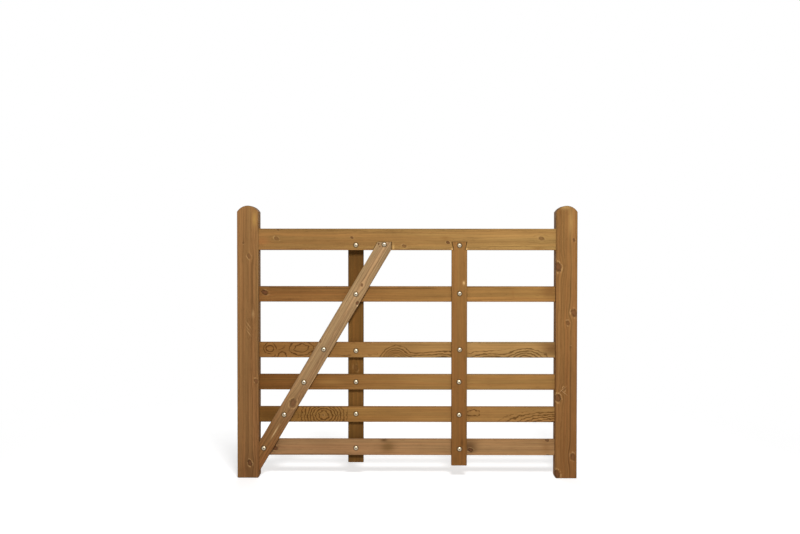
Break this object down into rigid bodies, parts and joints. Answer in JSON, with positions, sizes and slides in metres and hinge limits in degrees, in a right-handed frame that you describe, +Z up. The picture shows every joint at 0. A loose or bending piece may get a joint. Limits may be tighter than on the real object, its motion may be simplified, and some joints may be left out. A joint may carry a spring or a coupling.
{
  "type": "wooden field gate",
  "caption": "Planed softwood field gate leaf with domed stiles, tenoned rails, two dovetailed uprights and one diagonal brace.",
  "frame": {"origin": "on the hanging stile's flat outer side face, the face that the hinges and the hanging post lie against, in the middle of its depth and 600 mm above the foot of the gate", "axes": "+X across the gate from the hanging stile to the closing stile, +Y from the front (the side with the diagonal brace) to the rear, +Z up"},
  "size_m": [1.5, 0.07, 1.204],
  "materials": {
    "hanging_stile": "planed softwood, brown preservative stain, matt",
    "closing_stile": "planed softwood, brown preservative stain, matt",
    "top_rail": "planed softwood, brown preservative stain, matt",
    "second_rail": "planed softwood, brown preservative stain, matt",
    "third_rail": "planed softwood, brown preservative stain, matt",
    "fourth_rail": "planed softwood, brown preservative stain, matt",
    "fifth_rail": "planed softwood, brown preservative stain, matt",
    "bottom_rail": "planed softwood, brown preservative stain, matt",
    "front_upright": "planed softwood, brown preservative stain, matt",
    "rear_upright": "planed softwood, brown preservative stain, matt",
    "diagonal_brace": "planed softwood, brown preservative stain, matt"
  },
  "bodies": {
    "root": {"hanging_stile": "hanging_stile", "closing_stile": "closing_stile", "top_rail": "top_rail", "second_rail": "second_rail", "third_rail": "third_rail", "fourth_rail": "fourth_rail", "fifth_rail": "fifth_rail", "bottom_rail": "bottom_rail", "front_upright": "front_upright", "rear_upright": "rear_upright", "diagonal_brace": "diagonal_brace"}
  },
  "joints": []
}
